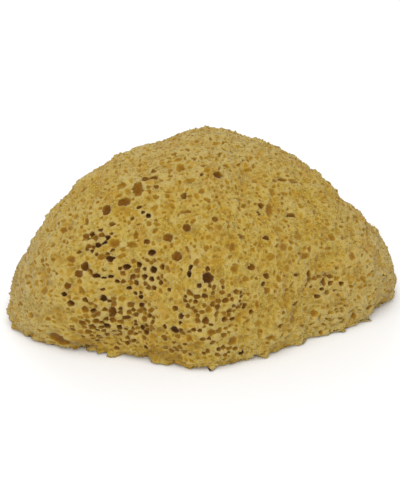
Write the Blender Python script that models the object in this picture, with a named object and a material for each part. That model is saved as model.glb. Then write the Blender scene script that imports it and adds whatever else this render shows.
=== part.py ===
"""A natural sea sponge, grown as one piece and cut flat where it stood on the rock.

It is a lumpy dome, pitted all over with pores, that rests on its flat cut. Open canals show
in the cut. Metres, +Z up. The side that is looked at points to -Y.
"""

import math
import random

import bmesh
import bpy
from mathutils import Matrix, Vector, noise
from mathutils.bvhtree import BVHTree
from mathutils.kdtree import KDTree

NAME = "sponge"

# The dome
HEIGHT = 0.075
# Reach of the foot from the middle every 30 degrees, from +X round by +Y
FOOTPRINT = (
    0.0820, 0.0750, 0.0560, 0.0520, 0.0540, 0.0595,
    0.0790, 0.0765, 0.0570, 0.0585, 0.0540, 0.0590,
)
FLANK_SWEEP = math.radians(99)  # past 90 degrees, the foot rolls under
FLANK_FULLNESS = 1.2  # 1 is an ellipse, more is leaner
HEART_HEIGHT = 0.019  # lobes and lumps swell away from this point on the axis
FLAT_ZONE = 0.012  # this near the cut, they swell sideways more than up

# Lobes and hollows: azimuth in degrees, share of the way from crown to cut, rise and spread
LOBES = {
    "crown_knob": (80, 0.05, 0.0018, 0.011),
    "left_end_lobe": (196, 0.93, 0.0025, 0.010),
    "left_shoulder_hollow": (170, 0.68, -0.0050, 0.020),
    "left_back_hollow": (145, 0.50, -0.0065, 0.024),
    "right_end_lobe": (14, 0.95, 0.0015, 0.010),
    "right_shoulder_hollow": (25, 0.52, -0.0085, 0.028),
    "front_swelling": (296, 0.58, 0.0018, 0.020),
}
# Rolling lumps: wavelength and height
LUMPS = ((0.026, 0.0016), (0.012, 0.0011))

# The skin's mesh, from a sphere whose lowest part becomes the flat cut
SPHERE_SUBDIVISIONS = 5
CUT_LATITUDE = -0.72

# The pits
PIT_COUNT = 215
PIT_SEED = 11
PIT_RADIUS = (0.0012, 0.0021)
CANAL_RADIUS = (0.0022, 0.0034)  # in the flat cut
PIT_DEPTH = 2.2  # depth over radius
PIT_TAPER = 0.62  # radius of the floor over that of the mouth
PIT_WALL = 0.0009  # the least stretch of skin between two mouths
RIM_ROOM = 0.0018  # skin between the cut's edge and the nearest mouth on the flank
CANAL_REACH = 0.80  # canals stay within this share of the way to the cut's edge
REST_PAD = 0.012  # and out of a plain patch about the middle
MOUTH_ROOM = 0.84  # radius of a mouth over the distance to the nearest point of the skin round it

# The photograph looks at the dome from this height above the horizon and this far away,
# with the view's middle this far above the middle of the foot
VIEW_ELEVATION = math.radians(27)
VIEW_DISTANCE = 0.70
VIEW_LIFT = 0.021
# The pores that stand out from there, in millimetres across and up from the middle of the
# foot, and their radius
SEEN_PORES = (
    (-40.0, 38.5, 1.9), (-49.0, 26.0, 1.5), (-44.0, 23.5, 1.2), (-36.5, 24.0, 1.9),
    (-29.0, 23.5, 1.7), (-21.0, 20.0, 1.4), (-10.5, 18.5, 1.7), (-38.5, 17.5, 1.3),
    (-49.5, 14.5, 1.6), (-44.5, 10.0, 1.3), (-52.0, 10.5, 1.6), (-31.5, 14.0, 1.4),
    (-26.0, 15.0, 1.2), (-20.5, 12.5, 1.3), (-4.5, 14.0, 1.2), (-5.0, 10.0, 1.3),
    (3.0, 9.5, 2.1), (-24.0, 9.5, 1.3), (-57.0, 5.5, 1.3), (-55.0, -1.5, 1.3),
    (-37.5, -5.5, 1.8), (-34.0, 0.5, 1.4), (-46.0, -5.0, 1.2), (-39.5, -11.5, 1.3),
    (-25.5, -12.0, 1.3), (-11.5, -13.0, 1.6), (-9.0, -7.0, 1.3), (2.0, -9.0, 1.4),
    (22.0, 14.0, 1.7), (14.0, 22.5, 1.5), (28.5, 4.0, 1.6), (40.5, -1.5, 1.2),
    (47.0, 10.0, 1.7), (-26.5, 47.0, 1.9), (-32.5, 42.0, 1.8), (7.0, 53.5, 1.7),
    (-7.5, 44.5, 1.3), (-5.0, -16.5, 1.7), (7.0, 34.5, 1.4), (-22.0, 32.5, 1.5),
    (28.5, 26.5, 1.3), (10.0, -8.5, 1.2),
)

SKIN_COLOUR = (0.48, 0.32, 0.09, 1.0)
SKIN_ROUGHNESS = 0.95


def foot_reach(azimuth):
    """Reach of the foot at an azimuth, on the smooth closed curve through FOOTPRINT."""
    count = len(FOOTPRINT)
    place = (math.degrees(azimuth) % 360) * count / 360
    i = int(place)
    t = place - i
    a, b, c, d = (FOOTPRINT[(i + k) % count] for k in (-1, 0, 1, 2))
    bend = 2 * a - 5 * b + 4 * c - d
    twist = 3 * b - a - 3 * c + d
    return 0.5 * (2 * b + (c - a) * t + bend * t**2 + twist * t**3)


def plain_dome(azimuth, down):
    """Point of the dome without its lobes, where down is 0 at the crown and 1 at the cut."""
    sweep = down * FLANK_SWEEP
    reach = foot_reach(azimuth) * math.sin(sweep)
    lowest = math.cos(FLANK_SWEEP)
    rise = max((math.cos(sweep) - lowest) / (1 - lowest), 0) ** FLANK_FULLNESS
    return Vector((reach * math.cos(azimuth), reach * math.sin(azimuth), HEIGHT * rise))


def swollen(point):
    """The point, moved away from the heart by the lobes and lumps that are there."""
    swell = 0
    for azimuth, down, rise, spread in LOBES.values():
        centre = plain_dome(math.radians(azimuth), down)
        swell += rise * math.exp(-((point - centre).length_squared) / spread**2)
    for wavelength, height in LUMPS:
        swell += height * noise.noise(point / wavelength)
    outward = (point - Vector((0, 0, HEART_HEIGHT))).normalized()
    outward.z *= min(1, point.z / FLAT_ZONE)
    return point + swell * outward


def skin_point(direction):
    """Where a direction of the unit sphere comes to lie on the sponge."""
    azimuth = math.atan2(direction.y, direction.x)
    if direction.z >= CUT_LATITUDE:
        return swollen(plain_dome(azimuth, math.sqrt((1 - direction.z) / (1 - CUT_LATITUDE))))
    foot = swollen(plain_dome(azimuth, 1))
    outward = cut_share(direction)
    return Vector((foot.x * outward, foot.y * outward, 0))


def cut_share(direction):
    """How far from the middle to the edge of the cut a low direction of the sphere lies."""
    return math.sqrt(max(1 + direction.z, 0) / (1 + CUT_LATITUDE))


def seen_point(skin, across, up):
    """The point of the skin that shows at a place in the view, or None off the sponge."""
    toward = Vector((0, -math.cos(VIEW_ELEVATION), math.sin(VIEW_ELEVATION)))
    upward = Vector((0, math.sin(VIEW_ELEVATION), math.cos(VIEW_ELEVATION)))
    eye = toward * VIEW_DISTANCE + upward * VIEW_LIFT
    return skin.ray_cast(eye, Vector((across, 0, 0)) + up * upward - eye)[0]


def random_direction(chance):
    height = chance.uniform(-1, 1)
    azimuth = chance.uniform(0, 2 * math.pi)
    flat = math.sqrt(1 - height**2)
    return Vector((flat * math.cos(azimuth), flat * math.sin(azimuth), height))


def pit_sites(skin):
    """Middle and radius of the pits: first the pores that are seen, then an endless random choice."""
    for across, up, radius in SEEN_PORES:
        middle = seen_point(skin, across / 1000, up / 1000)
        if middle is not None:
            yield middle, radius / 1000
    chance = random.Random(PIT_SEED)
    while True:
        direction = random_direction(chance)
        middle = skin_point(direction)
        if direction.z >= CUT_LATITUDE:
            radius = chance.uniform(*PIT_RADIUS)
            fits = middle.z > radius + RIM_ROOM
        else:
            radius = chance.uniform(*CANAL_RADIUS)
            fits = cut_share(direction) < CANAL_REACH and middle.length > REST_PAD + radius
        if fits:
            yield middle, radius


def neighbours(vertex):
    return {edge.other_vert(vertex) for edge in vertex.link_edges}


def choose_pits(bm):
    """Moves the vertex nearest to each site onto it, as a pit's middle, where there is room."""
    tree = KDTree(len(bm.verts))
    for vertex in bm.verts:
        tree.insert(vertex.co, vertex.index)
    tree.balance()
    bm.verts.ensure_lookup_table()
    used = set()
    pits = []
    for middle, radius in pit_sites(BVHTree.FromBMesh(bm)):
        if len(pits) == PIT_COUNT:
            break
        vertex = bm.verts[tree.find(middle)[1]]
        near = any((middle - pit.co).length < radius + reach + PIT_WALL for pit, reach in pits)
        if near or vertex in used:
            continue
        used |= neighbours(vertex) | {vertex}
        vertex.co = middle
        pits.append((vertex, radius))
    return pits


def inset_ring(bm, face, middle, normal, radius, depth):
    """Insets the face and sets its corners in a circle, at a depth below the middle."""
    bmesh.ops.inset_individual(bm, faces=[face], thickness=radius / 10)
    for vertex in face.verts:
        away = vertex.co - middle
        away -= away.dot(normal) * normal
        vertex.co = middle + away.normalized() * radius - normal * depth


def sink_pit(bm, vertex, radius):
    """Opens a round mouth about a vertex and sinks a tapered pit from it."""
    middle = vertex.co.copy()
    normal = vertex.normal.copy()
    ring = neighbours(vertex)
    mouth = min([radius] + [MOUTH_ROOM * (other.co - middle).length for other in ring])
    bmesh.ops.dissolve_verts(bm, verts=[vertex])
    face = set.intersection(*(set(other.link_faces) for other in ring)).pop()
    inset_ring(bm, face, middle, normal, mouth, 0)
    inset_ring(bm, face, middle, normal, mouth * PIT_TAPER, mouth * PIT_DEPTH)


def stand_over_origin(bm):
    """Sets the middle of the sponge's box over the origin."""
    low, high = (Vector(pick(v.co[i] for v in bm.verts) for i in range(3)) for pick in (min, max))
    middle = (low + high) / 2
    shift = Matrix.Translation((-middle.x, -middle.y, 0))
    bmesh.ops.transform(bm, matrix=shift, verts=bm.verts)


def skin_material():
    material = bpy.data.materials.new("sponge_skin")
    material.use_nodes = True
    surface = material.node_tree.nodes["Principled BSDF"]
    surface.inputs["Base Color"].default_value = SKIN_COLOUR
    surface.inputs["Roughness"].default_value = SKIN_ROUGHNESS
    surface.inputs["Metallic"].default_value = 0.0
    return material


def make_sponge(collection):
    bm = bmesh.new()
    bmesh.ops.create_icosphere(bm, subdivisions=SPHERE_SUBDIVISIONS, radius=1)
    for vertex in bm.verts:
        vertex.co = skin_point(vertex.co.normalized())
    bm.normal_update()
    for vertex, radius in choose_pits(bm):
        sink_pit(bm, vertex, radius)
    stand_over_origin(bm)
    bm.normal_update()
    mesh = bpy.data.meshes.new(NAME)
    bm.to_mesh(mesh)
    bm.free()
    mesh.materials.append(skin_material())
    collection.objects.link(bpy.data.objects.new(NAME, mesh))


def main():
    for obj in list(bpy.data.objects):
        bpy.data.objects.remove(obj)
    collection = bpy.data.collections.new("sea_sponge")
    bpy.context.scene.collection.children.link(collection)
    make_sponge(collection)


if __name__ == "__main__":
    main()
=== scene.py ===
"""The looks of a natural sea sponge: its pored skin, its horny fibres and a plain studio.

Metres, +Z up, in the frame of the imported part. The side that is looked at points to -Y.
"""

import logging
import math
import random
from collections.abc import Iterable, Iterator
from dataclasses import dataclass, field
from enum import Enum

import bpy
import numpy as np
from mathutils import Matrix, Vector, noise
from mathutils.bvhtree import BVHTree
from mathutils.kdtree import KDTree


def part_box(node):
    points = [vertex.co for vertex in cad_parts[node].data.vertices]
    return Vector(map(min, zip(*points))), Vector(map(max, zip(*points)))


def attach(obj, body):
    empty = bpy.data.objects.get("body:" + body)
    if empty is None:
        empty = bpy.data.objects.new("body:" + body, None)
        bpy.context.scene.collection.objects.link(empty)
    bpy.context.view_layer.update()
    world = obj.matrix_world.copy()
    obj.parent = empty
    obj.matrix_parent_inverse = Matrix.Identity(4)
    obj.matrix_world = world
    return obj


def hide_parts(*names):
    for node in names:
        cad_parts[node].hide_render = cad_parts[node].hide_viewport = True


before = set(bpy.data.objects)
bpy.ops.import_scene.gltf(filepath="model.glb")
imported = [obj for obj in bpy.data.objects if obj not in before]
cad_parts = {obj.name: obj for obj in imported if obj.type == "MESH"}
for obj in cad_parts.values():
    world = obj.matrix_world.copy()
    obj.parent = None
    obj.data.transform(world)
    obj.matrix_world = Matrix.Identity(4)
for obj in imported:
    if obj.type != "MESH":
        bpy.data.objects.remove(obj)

log = logging.getLogger("sea_sponge")

NODE = "sponge"
MM = 0.001
Colour = tuple[float, float, float]


def only(obj: bpy.types.Object | None = None) -> None:
    """Leaves this object alone selected and active, or nothing selected."""
    bpy.ops.object.select_all(action="DESELECT")
    if obj is not None:
        obj.select_set(True)
    bpy.context.view_layer.objects.active = obj


def select_none(kind: str) -> None:
    """Leaves nothing of the active mesh selected.

    Args:
        kind: VERT or FACE, which is what is then to be selected.
    """
    bpy.ops.object.mode_set(mode="EDIT")
    bpy.ops.mesh.select_mode(type=kind)
    bpy.ops.mesh.select_all(action="DESELECT")
    bpy.ops.object.mode_set(mode="OBJECT")


def tree_of(places: Iterable[tuple[int, Vector]]) -> KDTree:
    """Builds a search tree.

    Args:
        places: the places and, before each, its number.

    Returns:
        The tree.
    """
    numbered = list(places)
    tree = KDTree(len(numbered))
    for i, place in numbered:
        tree.insert(place, i)
    tree.balance()
    return tree


@dataclass(frozen=True)
class Lobe:
    """A lobe of the dome or, where its rise is negative, a hollow."""

    azimuth: float  # degrees
    down: float  # share of the way from the crown to the cut
    rise: float
    spread: float


@dataclass
class DomeForm:
    """The sponge's form without pores or crumbs: the solid's, with leaner flanks."""

    height: float = 0.075
    footprint: tuple[float, ...] = (  # reach from the middle, every 30 degrees from +X
        0.0828, 0.0752, 0.0560, 0.0520, 0.0540, 0.0595,
        0.0795, 0.0765, 0.0570, 0.0585, 0.0540, 0.0594,
    )
    flank_sweep: float = math.radians(99)  # past a right angle, so that the flank turns in at the foot
    flank_fullness: float = 1.26  # the higher, the leaner the flank
    heart_height: float = 0.019  # of the point that lobes and lumps swell away from
    flat_zone: float = 0.012  # the swelling turns level below this height
    cut_angle: float = math.radians(128)  # on the unit sphere, from the crown to the edge of the cut
    edge_band: float = 0.009  # what lies this near that angle comes to lie on the edge itself
    lobes: tuple[Lobe, ...] = (
        Lobe(80, 0.05, 0.0018, 0.011),
        Lobe(196, 0.93, 0.0025, 0.010),
        Lobe(170, 0.68, -0.0050, 0.020),
        Lobe(145, 0.50, -0.0065, 0.024),
        Lobe(14, 0.95, 0.0015, 0.010),
        Lobe(25, 0.52, -0.0085, 0.028),
        Lobe(296, 0.58, 0.0018, 0.020),
        Lobe(172, 0.17, -0.0014, 0.007),
    )
    lumps: tuple[tuple[float, float], ...] = ((0.026, 0.0016), (0.012, 0.0011))  # wavelengths, heights

    def foot_reach(self, azimuth: float) -> float:
        """Reads the reach of the foot off the smooth closed curve through the footprint.

        Args:
            azimuth: angle about +Z from +X, in radians.

        Returns:
            The reach from the middle, in metres.
        """
        count = len(self.footprint)
        place = (math.degrees(azimuth) % 360) * count / 360
        i = int(place)
        t = place - i
        a, b, c, d = (self.footprint[(i + k) % count] for k in (-1, 0, 1, 2))
        bend = 2 * a - 5 * b + 4 * c - d
        twist = 3 * b - a - 3 * c + d
        return 0.5 * (2 * b + (c - a) * t + bend * t**2 + twist * t**3)

    def plain_point(self, azimuth: float, down: float) -> Vector:
        """Places a point on the dome as it is without lobes.

        Args:
            azimuth: angle about +Z from +X, in radians.
            down: 0 at the crown and 1 at the cut.

        Returns:
            The point.
        """
        sweep = down * self.flank_sweep
        reach = self.foot_reach(azimuth) * math.sin(sweep)
        lowest = math.cos(self.flank_sweep)
        rise = max((math.cos(sweep) - lowest) / (1 - lowest), 0) ** self.flank_fullness
        return Vector((reach * math.cos(azimuth), reach * math.sin(azimuth), self.height * rise))

    def __post_init__(self) -> None:
        """Works out once where each lobe has its middle."""
        self.middles = [self.plain_point(math.radians(lobe.azimuth), lobe.down) for lobe in self.lobes]

    def swollen(self, point: Vector) -> Vector:
        """Moves a point away from the heart by the lobes and lumps that are there.

        Args:
            point: a point of the plain dome.

        Returns:
            The point on the lumpy dome.
        """
        swell = 0.0
        for lobe, middle in zip(self.lobes, self.middles):
            swell += lobe.rise * math.exp(-((point - middle).length_squared) / lobe.spread**2)
        for wavelength, height in self.lumps:
            swell += height * noise.noise(point / wavelength)
        outward = (point - Vector((0, 0, self.heart_height))).normalized()
        outward.z *= min(1, point.z / self.flat_zone)
        return point + swell * outward

    def skin_point(self, direction: Vector) -> Vector:
        """Finds where a direction of the unit sphere comes to lie on the sponge.

        Args:
            direction: a unit vector.

        Returns:
            The point on the dome, or on the flat cut for the lowest directions.
        """
        azimuth = math.atan2(direction.y, direction.x)
        if not self.in_cut(direction):
            down = min(math.acos(min(direction.z, 1)) / self.cut_angle, 1)
            return self.swollen(self.plain_point(azimuth, down))
        foot = self.swollen(self.plain_point(azimuth, 1))
        outward = math.sqrt(max(1 + direction.z, 0) / (1 + math.cos(self.cut_angle)))
        return Vector((foot.x * outward, foot.y * outward, 0))

    def in_cut(self, direction: Vector) -> bool:
        """Tells whether a direction of the unit sphere comes to lie in the flat cut."""
        return direction.z < math.cos(self.cut_angle + self.edge_band)


@dataclass
class PhotoView:
    """The view of the photograph, and the way from its pixels to the sponge."""

    elevation: float = math.radians(27)
    distance: float = 0.70
    frame_px: tuple[int, int] = (400, 500)
    sponge_px: float = 390.0
    sponge_width: float = 0.165
    foot_px: tuple[float, float] = (201.0, 300.0)
    sensor: float = 36.0
    clip_start: float = 0.01
    foot: Vector = field(default_factory=Vector)  # what is seen at foot_px

    def __post_init__(self) -> None:
        """Works out the view's directions and how much a pixel spans at the sponge."""
        self.pixel = self.sponge_width / self.sponge_px
        self.forward = Vector((0, math.cos(self.elevation), -math.sin(self.elevation)))
        self.upward = Vector((0, math.sin(self.elevation), math.cos(self.elevation)))

    def point(self, x: float, y: float) -> Vector:
        """Places a pixel on the upright plane through the foot that faces the view."""
        across = (x - self.foot_px[0]) * self.pixel
        return self.foot + Vector((across, 0, 0)) + (self.foot_px[1] - y) * self.pixel * self.upward

    def eye(self) -> Vector:
        """Returns where the view is taken from."""
        return self.point(self.frame_px[0] / 2, self.frame_px[1] / 2) - self.distance * self.forward

    def hit(self, skin: BVHTree, x: float, y: float) -> tuple[Vector | None, Vector | None]:
        """Finds what a pixel shows.

        Args:
            skin: the sponge's surface.
            x: pixels from the photograph's left edge.
            y: pixels from its top edge.

        Returns:
            The point and its normal, or None twice beside the sponge.
        """
        return skin.ray_cast(self.eye(), self.point(x, y) - self.eye())[:2]

    def add_camera(self) -> None:
        """Adds the camera and makes it the scene's."""
        data = bpy.data.cameras.new("photo_camera")
        data.sensor_width = self.sensor
        data.lens = self.sensor * self.distance / (self.frame_px[1] * self.pixel)
        data.clip_start = self.clip_start
        camera = bpy.data.objects.new("photo_camera", data)
        camera.location = self.eye()
        camera.rotation_euler = (math.pi / 2 - self.elevation, 0, 0)
        bpy.context.scene.collection.objects.link(camera)
        bpy.context.scene.camera = camera


# Levels of a pore's wall: radius over that of the mouth, and depth over the pore's own
SHAFT = ((0.96, 0.25), (0.86, 0.62), (0.50, 1.0))
BOWL = ((0.78, 0.50), (0.42, 1.0))


@dataclass(frozen=True)
class PoreMake:
    """What a kind of pore measures: ranges of its radius and depth, and the levels of its wall."""

    radius: tuple[float, float]
    depth: tuple[float, float]
    walls: tuple[tuple[float, float], ...]
    rim_tone_and_highlight: float  # how pale its rim is painted, from 0 to 1: partly the fibre's own tone, partly a painted highlight
    stretch: float = 1.35  # the most that one is longer than wide
    wobble: float = 0.14  # how far its mouth strays from an oval, over its radius


class PoreKind(Enum):
    """The kinds of pore that the skin has."""

    DEEP = PoreMake((0.0010, 0.0015), (0.0022, 0.0030), SHAFT, 1.0)
    OPEN = PoreMake((0.0009, 0.0014), (0.0013, 0.0019), SHAFT, 0.8)
    CELL = PoreMake((0.0008, 0.0012), (0.0009, 0.0015), SHAFT, 1.0)
    HOLLOW = PoreMake((0.0011, 0.0022), (0.0005, 0.0011), BOWL, 0.45, 1.7, 0.26)
    DIMPLE = PoreMake((0.00055, 0.0011), (0.00022, 0.00085), BOWL, 0.35, 2.4, 0.28)
    CANAL = PoreMake((0.0018, 0.0036), (0.0045, 0.0075), SHAFT, 0.6)


# Pores that stand out in the photograph: middle x and y, width and height in its pixels
SEEN_PORES = {
    PoreKind.DEEP: (
        (151, 253, 7, 6), (110, 259, 6, 6), (190, 267, 4, 5), (189, 274, 5, 6), (208, 278, 10, 9),
        (153, 270, 6, 6), (144, 277, 6, 5), (84, 266, 6, 8), (96, 276, 7, 4), (127, 267, 8, 5),
        (139, 265, 5, 5), (151, 279, 5, 5), (97, 245, 5, 5), (92, 234, 5, 5), (108, 237, 4, 6),
        (161, 267, 6, 4), (112, 313, 6, 9), (108, 327, 5, 6), (119, 328, 5, 5), (141, 328, 5, 5),
        (144, 334, 5, 5), (92, 312, 6, 4), (71, 304, 6, 5), (174, 331, 8, 6), (180, 317, 5, 6),
        (168, 290, 5, 4), (141, 306, 5, 5), (128, 289, 6, 3), (135, 293, 6, 3), (141, 297, 5, 4),
        (111, 277, 5, 4), (117, 282, 5, 4), (148, 216, 5, 5), (104, 279, 4, 4), (103, 298, 5, 7),
        (62, 294, 6, 4), (105, 242, 6, 3), (144, 349, 5, 4), (242, 353, 5, 4),
    ),
    PoreKind.OPEN: (
        (106, 209, 8, 9), (138, 189, 8, 12), (124, 201, 12, 8), (86, 239, 10, 7), (218, 174, 9, 6),
        (186, 227, 8, 7), (57, 341, 20, 9),
        (253, 267, 7, 6), (78, 274, 9, 6), (66, 286, 7, 6), (132, 277, 4, 5), (103, 290, 5, 4),
        (126, 318, 8, 5), (112, 224, 7, 4), (132, 218, 4, 4), (138, 207, 4, 4), (144, 207, 4, 4),
        (143, 212, 4, 4), (145, 219, 6, 4), (156, 185, 4, 5), (202, 173, 4, 4), (268, 237, 8, 4),
        (298, 304, 7, 4), (281, 326, 5, 4), (264, 284, 5, 4), (310, 274, 6, 6), (225, 320, 6, 4),
        (206, 321, 6, 5), (195, 303, 5, 4), (205, 296, 5, 5), (199, 286, 5, 5), (183, 195, 6, 6),
        (216, 218, 6, 5), (160, 283, 4, 4), (154, 288, 5, 5), (92, 251, 4, 4), (77, 251, 5, 4),
        (90, 272, 4, 6), (103, 247, 5, 4), (136, 283, 5, 5), (154, 170, 6, 5), (154, 176, 7, 3),
        (208, 269, 5, 4), (174, 309, 6, 5), (246, 307, 5, 7), (252, 313, 5, 4), (132, 320, 5, 4),
        (120, 309, 4, 4), (120, 268, 4, 5), (180, 324, 4, 4), (164, 328, 4, 6), (85, 300, 5, 6),
        (84, 310, 6, 6), (92, 328, 5, 6), (81, 324, 6, 6), (218, 308, 4, 6), (268, 276, 6, 5),
        (298, 275, 7, 3), (318, 297, 6, 4), (234, 320, 5, 4), (292, 215, 10, 4), (262, 205, 6, 5),
        (260, 212, 5, 3), (283, 179, 8, 4), (324, 282, 5, 7), (341, 284, 6, 4), (322, 289, 5, 4),
        (167, 237, 10, 7), (147, 242, 6, 5), (176, 256, 9, 8), (145, 178, 5, 6), (116, 349, 5, 4),
    ),
    PoreKind.HOLLOW: (
        (121, 185, 10, 8), (115, 243, 11, 8), (132, 245, 11, 6), (79, 282, 6, 6), (122, 299, 6, 6),
        (149, 224, 6, 6), (136, 235, 5, 9), (234, 247, 6, 8), (268, 291, 9, 6), (189, 339, 7, 9),
        (199, 345, 10, 5), (212, 333, 8, 7), (209, 310, 6, 7), (206, 248, 6, 7), (164, 273, 6, 6),
        (97, 230, 7, 6), (86, 221, 6, 7), (185, 280, 6, 5), (138, 169, 6, 5),
        (71, 237, 9, 4), (213, 298, 6, 5), (233, 341, 9, 8), (189, 180, 12, 5), (227, 165, 7, 4),
        (180, 165, 9, 8), (194, 158, 6, 5), (204, 164, 7, 6), (216, 142, 8, 5), (202, 190, 7, 6),
        (273, 192, 10, 6), (271, 209, 7, 13), (294, 181, 10, 5), (278, 228, 15, 5), (286, 234, 6, 7),
        (333, 237, 7, 8), (285, 247, 10, 7), (306, 256, 12, 5), (353, 256, 9, 8), (272, 257, 9, 7),
        (235, 269, 9, 9), (247, 279, 8, 5), (306, 309, 8, 5), (314, 313, 8, 6), (295, 320, 10, 6),
        (259, 324, 10, 7), (351, 317, 7, 6), (271, 338, 11, 4), (179, 359, 7, 6), (62, 229, 8, 6),
        (70, 259, 9, 6), (43, 291, 9, 6), (73, 321, 8, 6), (40, 260, 8, 5), (185, 211, 12, 5),
        (242, 236, 10, 4), (369, 308, 10, 5), (288, 269, 8, 5), (172, 310, 6, 6), (239, 199, 13, 3),
    ),
    PoreKind.DIMPLE: (
        (132, 164, 7, 3), (161, 159, 4, 4), (190, 166, 6, 4), (190, 140, 4, 3), (208, 146, 6, 3),
        (225, 156, 5, 4), (240, 164, 5, 3), (232, 181, 3, 4), (241, 175, 3, 4), (229, 187, 5, 3),
        (215, 190, 3, 3), (179, 181, 4, 5), (168, 191, 8, 3), (149, 191, 4, 6), (213, 196, 5, 3),
        (233, 202, 5, 3), (189, 208, 4, 3), (163, 212, 5, 4), (170, 212, 4, 4), (116, 215, 4, 4),
        (247, 143, 5, 3), (248, 160, 4, 3), (272, 163, 4, 3), (255, 181, 6, 5), (275, 186, 5, 4),
        (285, 193, 8, 4), (310, 201, 5, 4), (283, 203, 5, 3), (317, 205, 5, 3), (302, 206, 7, 5),
        (265, 222, 5, 4), (309, 221, 6, 4), (318, 218, 5, 4), (235, 225, 5, 3), (329, 224, 7, 4),
        (316, 229, 5, 4), (348, 235, 5, 3), (309, 239, 9, 5), (253, 250, 6, 4), (267, 251, 4, 4),
        (279, 251, 6, 3), (264, 260, 7, 3), (309, 264, 6, 4), (322, 266, 4, 4), (330, 266, 7, 3),
        (337, 268, 5, 5), (337, 279, 5, 5), (315, 290, 5, 4), (351, 291, 5, 3), (327, 306, 4, 4),
        (334, 312, 4, 4), (273, 306, 6, 4), (331, 325, 5, 4), (338, 321, 7, 4), (261, 332, 7, 4),
        (256, 340, 5, 3), (288, 338, 6, 4), (291, 331, 7, 4), (249, 330, 4, 3), (237, 330, 4, 3),
        (90, 207, 5, 4), (81, 204, 7, 3), (66, 214, 4, 4), (75, 216, 5, 6), (101, 218, 5, 3),
        (48, 249, 5, 4), (62, 254, 5, 3), (52, 260, 5, 4), (68, 265, 7, 3), (47, 270, 7, 5),
        (37, 273, 6, 3), (35, 283, 5, 8), (55, 296, 5, 3), (52, 318, 5, 5), (54, 328, 3, 6),
        (30, 315, 7, 5), (25, 311, 4, 3), (36, 302, 5, 4), (87, 258, 4, 5), (91, 262, 4, 5),
        (78, 312, 4, 5), (72, 313, 4, 4), (86, 317, 4, 6), (79, 333, 5, 5), (95, 301, 4, 5),
        (193, 205, 3, 3), (208, 237, 6, 5), (214, 256, 5, 4), (190, 351, 5, 5), (197, 354, 4, 4),
        (110, 345, 4, 3), (108, 340, 5, 3), (115, 340, 4, 4), (233, 284, 5, 4), (242, 275, 6, 4),
    ),
}
# Patches where small pores stand wall to wall there: middle x and y, half their width and
# height, and how many pores
SEEN_PATCHES = (
    (112, 322, 44, 24, 130), (142, 276, 24, 18, 50), (100, 243, 17, 15, 28),
    (213, 303, 32, 22, 60), (325, 283, 18, 10, 20), (200, 343, 42, 16, 40),
)
# Tags that hang from the lower edge, and notches in it, whose reach is less than nothing:
# x and y in the photograph's pixels, how far they reach and how wide they are
EDGE_TAGS = (
    (96, 352, 0.0040, 0.0014), (102, 351, -0.0022, 0.0012), (112, 355, 0.0032, 0.0025),
    (120, 353, -0.0026, 0.0016), (131, 356, 0.0012, 0.0028), (143, 356, -0.0026, 0.0016),
    (151, 361, 0.0034, 0.0026), (165, 364, 0.0020, 0.0034), (190, 366, 0.0018, 0.0036),
    (203, 368, -0.0016, 0.0014), (213, 369, 0.0040, 0.0015), (220, 370, -0.0016, 0.0014),
    (257, 358, -0.0024, 0.0020), (264, 353, 0.0022, 0.0022), (301, 342, 0.0018, 0.0030),
    (325, 334, 0.0014, 0.0024), (336, 331, 0.0034, 0.0020), (343, 328, -0.0026, 0.0020),
    (371, 315, 0.0030, 0.0022), (376, 306, -0.0020, 0.0020), (385, 293, 0.0022, 0.0022),
    (12, 316, 0.0020, 0.0024), (28, 334, 0.0020, 0.0026), (72, 346, -0.0034, 0.0036),
    (82, 347, 0.0016, 0.0024), (182, 365, -0.0014, 0.0014), (240, 362, -0.0016, 0.0020),
    (82, 348, -0.0030, 0.0085), (166, 366, -0.0026, 0.0120), (335, 331, 0.0026, 0.0140),
    (250, 360, 0.0018, 0.0080), (388, 302, -0.0050, 0.0080),
)


@dataclass
class Pore:
    """One pore, where it is to be and what the mesh gives up for it."""

    middle: Vector
    normal: Vector
    along: Vector  # unit vector, square to the normal
    reach: tuple[float, float]  # radii along that vector and square to it
    depth: float
    slant: Vector
    make: PoreMake
    inside: list[int] = field(default_factory=list)
    ring: list[int] = field(default_factory=list)

    def share(self, point: Vector) -> float:
        """How far out a point is: 1 on the mouth's edge, less inside."""
        away = point - self.middle
        side = self.normal.cross(self.along)
        return math.hypot(away.dot(self.along) / self.reach[0], away.dot(side) / self.reach[1])

    def lowered(self, point: Vector, level: int) -> Vector:
        """Moves a point to a level of the pore's wall from the one above it.

        Args:
            point: the point.
            level: the wall's level, 0 next to the mouth.

        Returns:
            The place on that level.
        """
        above = self.make.walls[level - 1] if level else (1.0, 0.0)
        wall = self.make.walls[level]
        sink = self.slant - self.normal * self.depth
        away = (point - self.middle - sink * above[1]) / above[0]
        return self.middle + away * wall[0] + sink * wall[1]


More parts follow.
